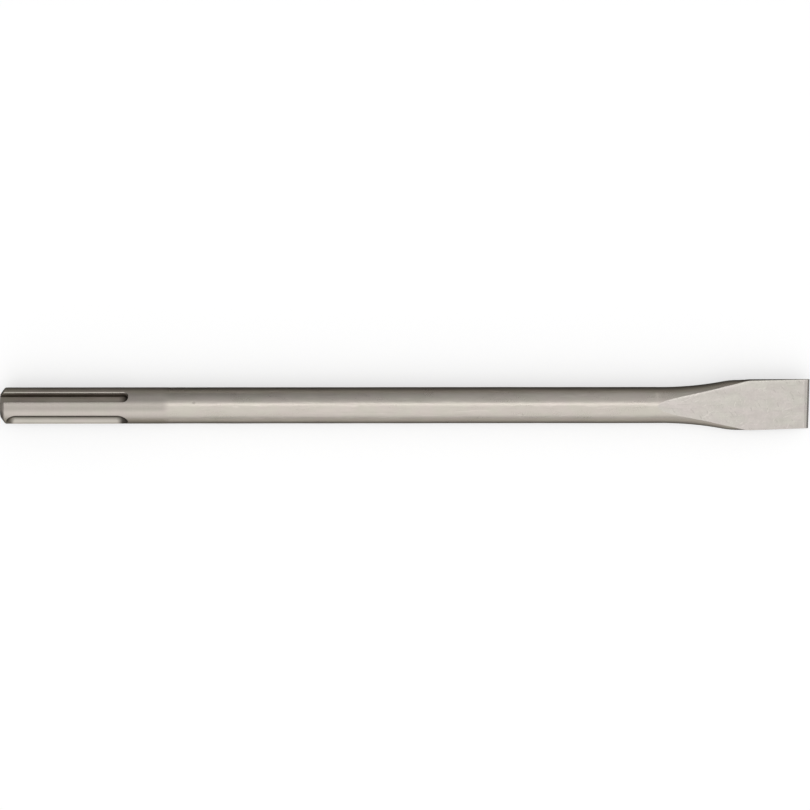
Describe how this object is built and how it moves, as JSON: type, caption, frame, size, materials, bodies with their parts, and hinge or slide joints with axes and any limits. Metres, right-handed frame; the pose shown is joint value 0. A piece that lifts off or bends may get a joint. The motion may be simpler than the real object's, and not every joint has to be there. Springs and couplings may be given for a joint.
{
  "type": "flat chisel for a demolition hammer",
  "caption": "Flat steel chisel forged from a round bar: a wedge blade that flares at the front, and a shank with drive grooves and locking pockets at the rear.",
  "frame": {"origin": "centre of the round striking face at the rear end of the shank", "axes": "+X along the bar to the cutting edge, +Z square to the middle plane of the blade, +Y across the blade"},
  "size_m": [0.4002, 0.0252, 0.018],
  "materials": {
    "forged_steel": "bare satin steel: turned and ground on the shank, blasted on the forged bar and blade, bright on the cutting bevels"
  },
  "bodies": {
    "root": {"chisel": "forged_steel"}
  },
  "joints": []
}
